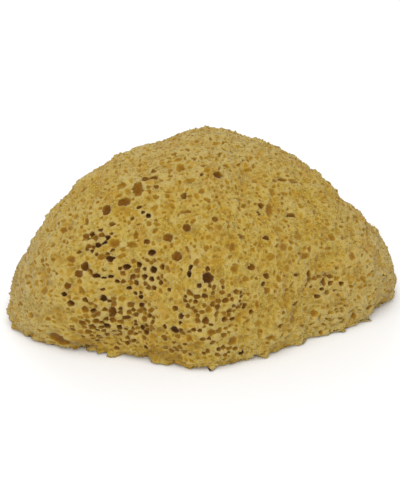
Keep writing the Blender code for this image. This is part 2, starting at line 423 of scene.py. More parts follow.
@dataclass
class PoredSkin:
    """The sponge's skin, with its pores as real openings in the mesh."""

    form: DomeForm
    view: PhotoView
    subdivisions: int = 7
    seed: int = 5
    jitter: float = 0.28  # of the mesh's own spacing
    spacing: float = 0.00094  # of the mesh on the dome
    random_pores: tuple[tuple[PoreKind, int], ...] = (
        (PoreKind.CANAL, 150),
        (PoreKind.DEEP, 60),
        (PoreKind.OPEN, 150),
        (PoreKind.CELL, 420),
        (PoreKind.HOLLOW, 170),
        (PoreKind.DIMPLE, 1700),
    )
    cluster_size: float = 0.030
    cluster_level: float = 0.08  # deep, open and cell pores grow where the noise of that size is above this
    offers: int = 6  # for each random pore that there is to be, because some find no room
    canal_reach: float = 0.84  # canals stay within this share of the way to the cut's edge
    lean: float = 0.25  # the most that a pore leans along each axis, over its depth
    seen_growth: float = 1.12  # a seen pore's mesh is a polygon, smaller than its circle
    seen_least: float = 0.0006  # its least radius
    seen_facing: float = 0.35  # the least that the skin there is taken to face the view
    mouth_room: float = 0.36  # how far a pore's vertices keep from its mouth's edge, over the spacing
    crumbs: tuple[tuple[float, float], ...] = ((0.0062, 0.0013), (0.0024, 0.0011))  # wavelengths, heights
    set_back: float = 0.0009  # so that the tops of the crumbs reach the smooth form
    grit: float = 0.00028  # the most that a vertex moves up or down by itself
    lip: float = 0.00018  # how far the mouths' edges stand up
    fray: float = 0.0018  # how far the lower edge is torn in or out
    fray_size: float = 0.0034  # wavelength of that
    fray_height: float = 0.0040  # and how far up it goes
    fray_back: float = 0.0010  # how far the edge lies back between its tags
    edge_height: float = 0.0005  # the lower edge is what lies below this
    edge_px: int = 12  # how far up the photograph the edge is looked for from a tag's place
    edge_count: int = 40  # and among how many of the nearest vertices
    cut_give: float = 0.0065  # how far in from the edge the cut moves with it
    hairline: float = 0.00002  # an inset that only makes a new ring of vertices

    def build(self) -> bpy.types.Object:
        """Builds the skin.

        Returns:
            The finished mesh object. Three attributes tell the finish about each vertex: relief
            and pit, in millimetres above the smooth form and below its pore's mouth, which the finish
            turns into painted shade, and rim, how pale the mouth that it is on is painted, partly as a
            painted highlight.
        """
        self.chance = random.Random(self.seed)
        only()
        bpy.ops.mesh.primitive_ico_sphere_add(subdivisions=self.subdivisions, radius=1)
        self.obj = bpy.context.object
        self.obj.name = self.obj.data.name = "sponge_body"
        self.lay_on_form()
        self.choose_pores()
        self.shape_mouths()
        self.crumble()
        self.open_mouths()
        self.sink_pores()
        self.write_relief()
        bpy.ops.object.shade_smooth()
        return self.obj

    def lay_on_form(self) -> None:
        """Lays the sphere's vertices on the form and learns how they are joined."""
        mesh = self.obj.data
        shake = self.jitter * math.sqrt(4 * math.pi / len(mesh.vertices))
        places = []
        self.on_cut = []
        for vertex in mesh.vertices:
            away = Vector(self.chance.uniform(-shake, shake) for _ in range(3))
            direction = (vertex.co + away).normalized()
            places.append(self.form.skin_point(direction))
            self.on_cut.append(self.form.in_cut(direction))
        low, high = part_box(NODE)
        lowest = Vector(min(p[i] for p in places) for i in range(3))
        highest = Vector(max(p[i] for p in places) for i in range(3))
        shift = (low + high - lowest - highest) / 2
        shift.z = 0
        self.view.foot = shift
        self.places = [p + shift for p in places]
        self.near = [[] for _ in self.places]
        for edge in mesh.edges:
            a, b = edge.vertices
            self.near[a].append(b)
            self.near[b].append(a)
        self.faces = [tuple(polygon.vertices) for polygon in mesh.polygons]
        self.smooth = BVHTree.FromPolygons(self.places, self.faces)
        self.normals = self.vertex_normals()

    def vertex_normals(self) -> list[Vector]:
        """Returns each vertex's normal, from the faces round it."""
        normals = [Vector() for _ in self.places]
        for a, b, c in self.faces:
            normal = (self.places[b] - self.places[a]).cross(self.places[c] - self.places[a])
            for i in (a, b, c):
                normals[i] += normal
        return [normal.normalized() for normal in normals]

    def choose_pores(self) -> None:
        """Places the pores that the photograph shows, and then the others wherever there is room."""
        self.tree = tree_of(enumerate(self.places))
        self.opened: set[int] = set()
        self.rims: set[int] = set()
        self.pores: list[Pore] = []
        found = [self.claim(pore) for pore in self.seen_pores()]
        log.info("%d of %d pores that the photograph shows", sum(found), len(found))
        found = [self.claim(pore) for pore in self.patch_pores()]
        log.info("%d of %d pores in packed patches", sum(found), len(found))
        for kind, count in self.random_pores:
            before = len(self.pores)
            for _ in range(count * self.offers):
                if len(self.pores) - before == count:
                    break
                self.claim(self.random_pore(kind))
            log.info("%d %s pores", len(self.pores) - before, kind.name.lower())

    def seen_pores(self) -> Iterator[Pore]:
        """Yields the pores that stand out in the photograph, largest kinds first."""
        for kind, pores in SEEN_PORES.items():
            for x, y, width, height in pores:
                middle, normal = self.view.hit(self.smooth, x, y)
                if middle is None:
                    continue
                half = self.view.pixel / 2 * self.seen_growth
                facing = max(-normal.dot(self.view.forward), self.seen_facing)
                along = (Vector((1, 0, 0)) - normal.x * normal).normalized()
                radii = (width * half, height * half / math.sqrt(facing))
                reach = tuple(max(radius, self.seen_least) for radius in radii)
                yield self.pore_at(middle, normal, along, reach, kind)

    def patch_pores(self, tries: int = 3) -> Iterator[Pore]:
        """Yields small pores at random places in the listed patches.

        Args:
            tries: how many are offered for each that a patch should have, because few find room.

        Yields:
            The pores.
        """
        for x, y, half_width, half_height, count in SEEN_PATCHES:
            for _ in range(count * tries):
                turn = self.chance.uniform(0, math.tau)
                out = math.sqrt(self.chance.uniform(0, 1))
                across = x + half_width * out * math.cos(turn)
                middle, normal = self.view.hit(self.smooth, across, y + half_height * out * math.sin(turn))
                if middle is not None:
                    yield self.any_pore_at(middle, normal, PoreKind.CELL)

    def pore_at(
        self, middle: Vector, normal: Vector, along: Vector, reach: tuple[float, float], kind: PoreKind
    ) -> Pore:
        """Makes a pore with a depth and slant of its own.

        Args:
            middle: the middle of its mouth.
            normal: the skin's normal there.
            along: unit vector along its first radius.
            reach: its two radii.
            kind: its kind.

        Returns:
            The pore, which has no vertices yet.
        """
        depth = self.chance.uniform(*kind.value.depth)
        slant = Vector(self.chance.uniform(-1, 1) for _ in range(3)) * depth * self.lean
        slant -= slant.dot(normal) * normal
        return Pore(middle, normal, along, reach, depth, slant, kind.value)

    def suits(self, i: int, kind: PoreKind) -> bool:
        """Tells whether a vertex may be the middle of a random pore of a kind.

        Args:
            i: the vertex.
            kind: the pore's kind. Canals are in the cut, away from its edge, and dimples anywhere.
                The others are on the dome where the photograph doesn't look, the deeper ones of
                them in clusters.

        Returns:
            True if it may.
        """
        if kind is PoreKind.DIMPLE:
            return True
        if kind is PoreKind.CANAL:
            away = self.places[i] - self.view.foot
            edge = self.form.foot_reach(math.atan2(away.y, away.x))
            return self.on_cut[i] and away.length < self.canal_reach * edge
        if self.on_cut[i]:
            return False
        if self.normals[i].dot(self.view.forward) < 0:
            return False
        clustered = noise.noise(self.places[i] / self.cluster_size) > self.cluster_level
        return kind is PoreKind.HOLLOW or clustered

    def random_pore(self, kind: PoreKind) -> Pore:
        """Makes a pore of a kind at a vertex chosen at random among those that suit it."""
        i = self.chance.randrange(len(self.places))
        while not self.suits(i, kind):
            i = self.chance.randrange(len(self.places))
        return self.any_pore_at(self.places[i], self.normals[i], kind)

    def any_pore_at(self, middle: Vector, normal: Vector, kind: PoreKind) -> Pore:
        """Makes a pore with a random size, stretch and turn.

        Args:
            middle: the middle of its mouth.
            normal: the skin's normal there.
            kind: its kind.

        Returns:
            The pore.
        """
        along = normal.orthogonal().normalized()
        turn = self.chance.uniform(0, math.tau)
        along = along * math.cos(turn) + normal.cross(along) * math.sin(turn)
        radius = self.chance.uniform(*kind.value.radius)
        stretch = self.chance.uniform(1.0, kind.value.stretch)
        return self.pore_at(middle, normal, along, (radius * stretch, radius), kind)

    def claim(self, pore: Pore) -> bool:
        """Gives a pore its vertices, if it opens none of another's. Two pores may share a stretch of rim.

        Args:
            pore: the pore, whose inside and ring are filled in.

        Returns:
            True if there was room.
        """
        inner = 1 - self.mouth_room * self.spacing / math.sqrt(pore.reach[0] * pore.reach[1])
        first = self.tree.find(pore.middle)[1]
        around = self.tree.find_range(pore.middle, max(pore.reach))
        wanted = {i for place, i, _ in around if pore.share(place) < inner} | {first}
        inside = self.joined(first, wanted)
        ring = {j for i in inside for j in self.near[i]} - inside
        if inside & (self.opened | self.rims) or ring & self.opened:
            return False
        if len({self.on_cut[i] for i in inside | ring}) > 1:
            return False
        self.opened |= inside
        self.rims |= ring
        pore.inside = sorted(inside)
        pore.ring = sorted(ring)
        self.pores.append(pore)
        return True

    def joined(self, first: int, wanted: set[int]) -> set[int]:
        """Finds the wanted vertices that edges join to the first one.

        Args:
            first: the first vertex.
            wanted: the vertices that may be joined to it.

        Returns:
            Those that are, with the first.
        """
        found = {first}
        edge = [first]
        while edge:
            edge = [j for i in edge for j in self.near[i] if j in wanted and j not in found]
            found.update(edge)
        return found

    def shape_mouths(self, rounds: int = 5, step: float = 0.5) -> None:
        """Pulls each pore's ring onto its mouth, and evens out the mesh between the mouths.

        A stretch of rim that two pores share comes to lie half way between their mouths.

        Args:
            rounds: how many times the mesh is evened out.
            step: how far a vertex goes each time to the middle of its neighbours.
        """
        pulled: dict[int, list[Vector]] = {i: [] for i in sorted(self.rims)}
        for pore in self.pores:
            for i in pore.ring:
                away = self.places[i] - pore.middle
                lift = away.dot(pore.normal) * pore.normal
                wobble = pore.make.wobble
                pull = self.chance.uniform(1 - wobble, 1 + wobble) / pore.share(self.places[i])
                pulled[i].append(pore.middle + (away - lift) * pull + lift)
        for i, places in pulled.items():
            self.places[i] = sum(places, Vector()) / len(places)
        kept = self.opened | self.rims
        free = [i for i in range(len(self.places)) if i not in kept and not self.on_cut[i]]
        for _ in range(rounds):
            for i in free:
                others = [self.places[j] for j in self.near[i] if j not in self.opened]
                middle = sum(others, Vector()) / len(others)
                self.places[i] = self.places[i].lerp(middle, step)

    def crumble(self) -> None:
        """Roughens the skin, raises the mouths' lips, tears the lower edge and marks the rims."""
        tags = list(self.tags())
        before = list(self.places)
        for i, place in enumerate(before):
            rise = sum(height * noise.noise(place / wavelength) for wavelength, height in self.crumbs)
            rise += self.chance.uniform(-self.grit, self.grit) + (self.lip if i in self.rims else 0)
            normal = self.normals[i]
            if self.on_cut[i]:
                self.places[i] = place - normal * abs(rise)
                continue
            rise -= self.set_back
            foot = max(0, 1 - place.z / self.fray_height)
            torn = foot * (self.fray * noise.noise(place / self.fray_size) - self.fray_back)
            for at, reach, width in tags:
                torn += reach * math.exp(-((place - at).length_squared) / width**2)
            outward = Vector((place.x, place.y, 0)).normalized()
            moved = place + normal * rise + outward * torn
            moved.z = max(moved.z, 0)
            self.places[i] = moved
        self.follow_edge(before)
        mesh = self.obj.data
        mesh.vertices.foreach_set("co", np.array(self.places, float).ravel())
        # How pale each pore's rim is painted: partly the fibre's own tone, partly a painted highlight
        rim = np.zeros(len(self.places), np.float32)
        for pore in self.pores:
            rim[pore.ring] = np.maximum(rim[pore.ring], pore.make.rim_tone_and_highlight)
        mesh.attributes.new("rim", "FLOAT", "POINT").data.foreach_set("value", rim)
        mesh.attributes.new("pit", "FLOAT", "POINT")
        mesh.update()

    def follow_edge(self, before: list[Vector]) -> None:
        """Moves the cut along with its torn edge, less and less further in.

        Args:
            before: where the vertices were before the edge was torn.
        """
        low = (pair for pair in enumerate(before) if pair[1].z < self.edge_height)
        tree = tree_of(pair for pair in low if not self.on_cut[pair[0]])
        for i, place in enumerate(before):
            if self.on_cut[i]:
                _, nearest, distance = tree.find(place)
                shift = self.places[nearest] - before[nearest]
                shift.z = 0
                self.places[i] += shift * math.exp(-((distance / self.cut_give) ** 2))

    def tags(self) -> Iterator[tuple[Vector, float, float]]:
        """Yields the vertex of the lower edge where each seen tag or notch is, its reach and its width."""
        for x, y, reach, width in EDGE_TAGS:
            for up in range(self.edge_px):
                middle, _ = self.view.hit(self.smooth, x, y - up)
                if middle is not None:
                    near = self.tree.find_n(Vector((middle.x, middle.y, 0)), self.edge_count)
                    at = next(place for place, i, _ in near if not self.on_cut[i])
                    yield at, reach, width
                    break

    def open_mouths(self) -> None:
        """Dissolves what lies inside the mouths, which leaves one face in each."""
        only(self.obj)
        mesh = self.obj.data
        gone = np.zeros(len(mesh.vertices), bool)
        gone[[i for pore in self.pores for i in pore.inside]] = True
        select_none("VERT")
        mesh.vertices.foreach_set("select", gone)
        bpy.ops.object.mode_set(mode="EDIT")
        bpy.ops.mesh.dissolve_verts()
        bpy.ops.mesh.select_mode(type="FACE")
        bpy.ops.mesh.select_all(action="DESELECT")
        bpy.ops.mesh.select_face_by_sides(number=3, type="GREATER", extend=False)
        bpy.ops.object.mode_set(mode="OBJECT")
        found = sum(polygon.select for polygon in mesh.polygons)
        log.info("%d mouths for %d pores", found, len(self.pores))

    def sink_pores(self) -> None:
        """Insets each mouth's face level by level, and sets every new ring on the pore's wall."""
        mesh = self.obj.data
        tree = tree_of(enumerate(pore.middle for pore in self.pores))
        owners = [tree.find(face.center)[1] if face.select else -1 for face in mesh.polygons]
        mesh.attributes.new("pore", "INT", "FACE").data.foreach_set("value", owners)
        for level in range(max(len(pore.make.walls) for pore in self.pores)):
            owner = mesh.attributes["pore"].data
            for face in mesh.polygons:
                if face.select and level >= len(self.pores[owner[face.index].value].make.walls):
                    face.select = False
            bpy.ops.object.mode_set(mode="EDIT")
            bpy.ops.mesh.inset(thickness=self.hairline, use_individual=True)
            bpy.ops.object.mode_set(mode="OBJECT")
            owner = mesh.attributes["pore"].data
            pit = mesh.attributes["pit"].data
            for face in mesh.polygons:
                if face.select:
                    pore = self.pores[owner[face.index].value]
                    for i in face.vertices:
                        mesh.vertices[i].co = pore.lowered(mesh.vertices[i].co, level)
                        pit[i].value = pore.depth * pore.make.walls[level][1] / MM
        mesh.attributes.remove(mesh.attributes["pore"])
        mesh.update()

    def write_relief(self) -> None:
        """Writes each vertex's height above the middle of the relief, in millimetres, for the finish."""
        mesh = self.obj.data
        relief = np.empty(len(mesh.vertices), np.float32)
        for vertex in mesh.vertices:
            place, normal, _, distance = self.smooth.find_nearest(vertex.co)
            above = (vertex.co - place).dot(normal) > 0
            relief[vertex.index] = ((distance if above else -distance) + self.set_back) / MM
        mesh.attributes.new("relief", "FLOAT", "POINT").data.foreach_set("value", relief)


class Value:
    """A number that changes over a surface, so that shader maths reads as Python expressions."""

    def __init__(self, shop: "Shop", socket: bpy.types.NodeSocket) -> None:
        """Wraps an output socket of the shop's tree."""
        self.shop = shop
        self.socket = socket

    def _maths(self, operation: str, *others: "Value | float", clamp: bool = False) -> "Value":
        """Adds a Math node on this value and others."""
        made = self.shop.node("ShaderNodeMath", {"operation": operation, "use_clamp": clamp})
        for socket, given in zip(made.inputs, (self, *others)):
            self.shop.feed(socket, given)
        return Value(self.shop, made.outputs[0])

    def __add__(self, other: "Value | float") -> "Value":
        """Adds."""
        return self._maths("ADD", other)

    __radd__ = __add__

    def __mul__(self, other: "Value | float") -> "Value":
        """Multiplies."""
        return self._maths("MULTIPLY", other)

    __rmul__ = __mul__

    def __sub__(self, other: "Value | float") -> "Value":
        """Subtracts."""
        return self._maths("SUBTRACT", other)

    def __rsub__(self, other: float) -> "Value":
        """Subtracts this value from a number."""
        return self * -1.0 + other

    def clamped(self) -> "Value":
        """Keeps the value between 0 and 1."""
        return self._maths("ADD", 0.0, clamp=True)

    def band(self, low: float, high: float) -> "Value":
        """Runs smoothly from 0 at low to 1 at high.

        Args:
            low: the value that gives 0.
            high: the value that gives 1. It may be the lower of the two.

        Returns:
            The smooth step.
        """
        t = ((self - low) * (1 / (high - low))).clamped()
        return t * t * (3.0 - 2.0 * t)


class NodeShop:
    """Makes the nodes of one tree."""

    def __init__(self, tree: bpy.types.NodeTree) -> None:
        """Takes a tree and empties it."""
        self.tree = tree
        self.tree.nodes.clear()

    def node(self, kind: str, settings: dict | None = None, sockets: dict | None = None) -> bpy.types.Node:
        """Adds a node.

        Args:
            kind: the node's type.
            settings: its own settings, set first.
            sockets: what its sockets get, by identifier, as feed takes it.

        Returns:
            The node.
        """
        made = self.tree.nodes.new(kind)
        for key, value in (settings or {}).items():
            setattr(made, key, value)
        for key, value in (sockets or {}).items():
            self.feed(next(s for s in made.inputs if s.identifier == key), value)
        return made

    def feed(self, socket: bpy.types.NodeSocket, given: object) -> None:
        """Links or sets a socket.

        Args:
            socket: the input socket.
            given: a value or an output socket to link, or a number, vector, colour, name or
                object to set.
        """
        if isinstance(given, Value):
            given = given.socket
        if isinstance(given, bpy.types.NodeSocket):
            self.tree.links.new(given, socket)
        elif isinstance(given, tuple) and socket.type == "RGBA":
            socket.default_value = (*given, 1.0)
        else:
            socket.default_value = given

    def out(self, made: bpy.types.Node, identifier: str) -> bpy.types.NodeSocket:
        """Returns a node's output by its identifier."""
        return next(s for s in made.outputs if s.identifier == identifier)


# Painted light: a pale painted sheen towards the left and right ends, and painted top light on the crown:
# where it begins, where it is full and how much it is
PAINTED_SHEEN_ENDS = (0.042, 0.078, 0.5)  # along X, both ways from the middle
PAINTED_TOP_LIGHT = (0.056, 0.074, 0.4)  # up Z


class Shop(NodeShop):
    """Makes one material."""

    def __init__(self, name: str) -> None:
        """Starts a material with nothing in it."""
        self.material = bpy.data.materials.new(name)
        self.material.use_nodes = True
        super().__init__(self.material.node_tree)

    def place(self) -> bpy.types.NodeSocket:
        """Returns the place on the object."""
        return self.out(self.node("ShaderNodeTexCoord"), "Object")

    def attribute(self, name: str) -> Value:
        """Reads a number that the mesh holds."""
        made = self.node("ShaderNodeAttribute", {"attribute_name": name})
        return Value(self, self.out(made, "Fac"))

    def noise(self, place: bpy.types.NodeSocket, wavelength: float, detail: float = 2.0) -> Value:
        """Adds a noise.

        Args:
            place: where on the object.
            wavelength: size of its largest blots, in metres.
            detail: how many finer layers it has.

        Returns:
            Its value, mostly between 0.3 and 0.7.
        """
        sockets = {"Vector": place, "Scale": 1 / wavelength, "Detail": detail}
        return Value(self, self.out(self.node("ShaderNodeTexNoise", {}, sockets), "Fac"))

    def painted_light_share(self, place: bpy.types.NodeSocket) -> Value:
        """Measures how much painted light a place gets: painted sheen, most at the left and right ends, and
        painted top light on the crown.

        Args:
            place: where on the object.

        Returns:
            The share of painted sheen and top light, 0 far from the ends and the crown.
        """
        split = self.node("ShaderNodeSeparateXYZ", {}, {"Vector": place})
        across = Value(self, split.outputs["X"])
        up = Value(self, split.outputs["Z"])
        start, full, most = PAINTED_SHEEN_ENDS
        ends = (across * across).band(start**2, full**2) * most
        start, full, most = PAINTED_TOP_LIGHT
        return ends + up.band(start, full) * most

    def cells(self, place: bpy.types.NodeSocket, size: float) -> Value:
        """Adds round cells.

        Args:
            place: where on the object.
            size: how far apart their middles are, in metres.

        Returns:
            The distance from their middles, over their size.
        """
        sockets = {"Vector": place, "Scale": 1 / size}
        made = self.node("ShaderNodeTexVoronoi", {"feature": "SMOOTH_F1"}, sockets)
        return Value(self, self.out(made, "Distance"))

    def ramp(self, value: Value, colours: tuple[tuple[float, Colour], ...]) -> bpy.types.NodeSocket:
        """Colours a value.

        Args:
            value: the value.
            colours: pairs of a value and its colour, from the lowest up.

        Returns:
            The colour.
        """
        low, high = colours[0][0], colours[-1][0]
        level = ((value - low) * (1 / (high - low))).clamped()
        made = self.node("ShaderNodeValToRGB", {}, {"Fac": level})
        stops = made.color_ramp.elements
        while len(stops) < len(colours):
            stops.new(1.0)
        for stop, (at, colour) in zip(stops, colours):
            stop.position = (at - low) / (high - low)
            stop.color = (*colour, 1.0)
        return made.outputs["Color"]

    def mix(self, factor: Value | float, a: object, b: object) -> bpy.types.NodeSocket:
        """Mixes two colours.

        Args:
            factor: share of the second.
            a: the first colour.
            b: the second colour.

        Returns:
            The mixed colour.
        """
        sockets = {"Factor_Float": factor, "A_Color": a, "B_Color": b}
        return self.out(self.node("ShaderNodeMix", {"data_type": "RGBA"}, sockets), "Result_Color")

    def finish(
        self, colour: object, roughness: float, height: Value, depth: float, **constants: float
    ) -> None:
        """Ends the material in one surface.

        Args:
            colour: the base colour.
            roughness: the roughness.
            height: the fine relief, from 0 to 1.
            depth: what that relief measures, in metres.
            constants: other sockets of the surface, the same all over.
        """
        bump = self.node("ShaderNodeBump", {}, {"Distance": depth, "Strength": 1.0, "Height": height})
        surface = self.node("ShaderNodeBsdfPrincipled")
        self.feed(surface.inputs["Base Color"], colour)
        self.feed(surface.inputs["Roughness"], roughness)
        self.feed(surface.inputs["Normal"], bump.outputs[0])
        for name, value in constants.items():
            surface.inputs[name.replace("_", " ")].default_value = value
        output = self.node("ShaderNodeOutputMaterial")
        self.tree.links.new(surface.outputs[0], output.inputs["Surface"])


# What the skin and the tufts share
FIBRE_ROUGHNESS = 0.95
FIBRE_SHINE = {"Specular_IOR_Level": 0.08, "Sheen_Weight": 0.12}
BLOT_SIZE = 0.0050
MID_NOISE = 0.5
DARK_BLOTS = (0.53, 0.62)  # from where to where they come in, in the noise
LIGHT_BLOTS = (0.46, 0.36)


@dataclass(frozen=True)
class SkinFinish:
    """Dry sponge fibre, golden on the skin, with painted shade that browns it into the hollows and down the
    pores, and paler on the crumbs, partly as a painted highlight.
    """

    name: str = "sponge_fibre"
    # Colours of the skin by its relief, darker into the hollows as painted shade and paler on the raised
    # crumbs partly as a painted highlight, and of a pore's wall by how deep it is, darker down it as
    # painted shade, in millimetres
    relief_tone_and_shade: tuple[tuple[float, Colour], ...] = (
        (-1.3, (0.300, 0.168, 0.014)),
        (-0.5, (0.385, 0.242, 0.026)),
        (0.1, (0.435, 0.300, 0.054)),
        (0.9, (0.450, 0.330, 0.096)),
    )
    # Painted shade down the pores' walls, darker the deeper, on the fibre's own brown
    pit_shade_colours: tuple[tuple[float, Colour], ...] = (
        (0.1, (0.380, 0.238, 0.024)),
        (0.5, (0.300, 0.165, 0.014)),
        (0.9, (0.240, 0.112, 0.009)),
        (1.6, (0.165, 0.064, 0.005)),
        (2.6, (0.100, 0.038, 0.003)),
    )
    # Pale of the pores' rims: partly the fibre's own tone, partly a painted highlight
    pale: Colour = (0.440, 0.328, 0.112)
    painted_light: Colour = (0.420, 0.332, 0.150)  # painted sheen at the two ends and painted top light on the crown
    ochre: Colour = (0.375, 0.203, 0.014)
    straw: Colour = (0.430, 0.328, 0.092)
    # Painted shade in the middles of small dimples that only the bump makes
    dimple_shade: Colour = (0.280, 0.168, 0.016)
    ochre_share: float = 0.70
    straw_share: float = 0.45
    dimple_shade_share: float = 0.70
    rim_tone_and_highlight_share: float = 0.60
    crumb_size: float = 0.0016
    crumb_sway: float = 2.2  # how far the crumbs' noise sways the relief's colours, in millimetres
    wall_sway: float = 1.3  # and those of the pores' walls
    dimple_size: float = 0.0026
    grain_size: float = 0.0007
    bump_depth: float = 0.0017
    bump_shares: tuple[float, float, float] = (0.6, 0.2, 0.2)  # of the crumbs, the grain and the dimples
    # From where to where they come in: the painted shade in small dimples and their bump by the cells'
    # distance, patches of that painted shade by their noise, and the painted shade of a pore's wall by its
    # depth in millimetres
    dimple_shaded: tuple[float, float] = (0.32, 0.14)
    dimpled: tuple[float, float] = (0.10, 0.34)
    patched: tuple[float, float] = (0.44, 0.56)
    walled: tuple[float, float] = (0.02, 0.30)

    def make(self) -> bpy.types.Material:
        """Makes the material.

        Returns:
            The material.
        """
        shop = Shop(self.name)
        place = shop.place()
        crumbs = shop.noise(place, self.crumb_size, 3.0)
        relief = shop.attribute("relief") + (crumbs - MID_NOISE) * self.crumb_sway
        # Painted shade in the hollows, and paler raised crumbs, partly a painted highlight
        colour = shop.ramp(relief, self.relief_tone_and_shade)
        # Painted sheen towards the two ends and painted top light on the crown
        colour = shop.mix(shop.painted_light_share(place), colour, self.painted_light)
        blots = shop.noise(place, BLOT_SIZE, 3.0)
        colour = shop.mix(blots.band(*DARK_BLOTS) * self.ochre_share, colour, self.ochre)
        colour = shop.mix(blots.band(*LIGHT_BLOTS) * self.straw_share, colour, self.straw)
        # Small dimples in the bump only, with painted shade in their middles, in patches
        dimples = shop.cells(place, self.dimple_size)
        shaded_dimples = dimples.band(*self.dimple_shaded) * shop.noise(place, BLOT_SIZE, 1.0).band(*self.patched)
        colour = shop.mix(shaded_dimples * self.dimple_shade_share, colour, self.dimple_shade)
        # Pale rims round the pores: partly the fibre's tone, partly a painted highlight
        colour = shop.mix(shop.attribute("rim") * self.rim_tone_and_highlight_share, colour, self.pale)
        # Painted shade down each pore's wall, by its depth
        pit = shop.attribute("pit")
        wall = shop.ramp(pit + (crumbs - MID_NOISE) * self.wall_sway, self.pit_shade_colours)
        colour = shop.mix(pit.band(*self.walled), colour, wall)
        grain = shop.noise(place, self.grain_size)
        coarse, fine, pitted = self.bump_shares
        height = crumbs * coarse + grain * fine + dimples.band(*self.dimpled) * pitted
        shop.finish(colour, FIBRE_ROUGHNESS, height, self.bump_depth, **FIBRE_SHINE)
        return shop.material


@dataclass(frozen=True)
class TuftFinish:
    """The ends of the fibres, which catch more light than the skin under them."""

    name: str
    golden: Colour = (0.420, 0.290, 0.050)
    pale: Colour = (0.445, 0.330, 0.098)
    # Painted sheen at the two ends and painted top light on the crown
    painted_light: Colour = (0.420, 0.332, 0.150)
    ochre: Colour = (0.370, 0.216, 0.018)
    # Painted shade at the base of each tuft, where it stands in the skin
    root: Colour = (0.360, 0.226, 0.024)
    ochre_share: float = 0.7
    pale_share: float = 0.7
    mottle_share: float = 0.5
    mottle_size: float = 0.0019
    grain_size: float = 0.0006
    bump_depth: float = 0.0001
    mottled: tuple[float, float] = (0.50, 0.62)  # from where to where pale mottles come in
    base_shaded: tuple[float, float] = (0.7, 0.1)  # and the painted shade at its base, by the height over the tuft's

    def make(self) -> bpy.types.Material:
        """Makes the material.

        Returns:
            The material.
        """
        shop = Shop(self.name)
        place = shop.place()
        blots = shop.noise(place, BLOT_SIZE, 3.0)
        mottle = shop.noise(place, self.mottle_size, 3.0)
        # Painted sheen towards the two ends and painted top light on the crown
        colour = shop.mix(shop.painted_light_share(place), self.golden, self.painted_light)
        colour = shop.mix(blots.band(*DARK_BLOTS) * self.ochre_share, colour, self.ochre)
        colour = shop.mix(mottle.band(*self.mottled) * self.pale_share, colour, self.pale)
        colour = shop.mix(mottle.band(*LIGHT_BLOTS) * self.mottle_share, colour, self.ochre)
        # Painted shade towards each tuft's base
        colour = shop.mix(shop.attribute("tip").band(*self.base_shaded), colour, self.root)
        grain = shop.noise(place, self.grain_size)
        shop.finish(colour, FIBRE_ROUGHNESS, grain, self.bump_depth, **FIBRE_SHINE)
        return shop.material


@dataclass(frozen=True)
class TuftMake:
    """The form of a tuft, over its width."""

    sides: int
    waist: float  # radius where the point begins
    lean: float  # how far the point stands out to one side


class TuftShape(Enum):
    """What stands on the skin: a crumb of matted fibre, or the bent end of one strand."""

    CRUMB = TuftMake(5, 0.46, 0.15)
    STRAND = TuftMake(3, 0.42, 1.6)


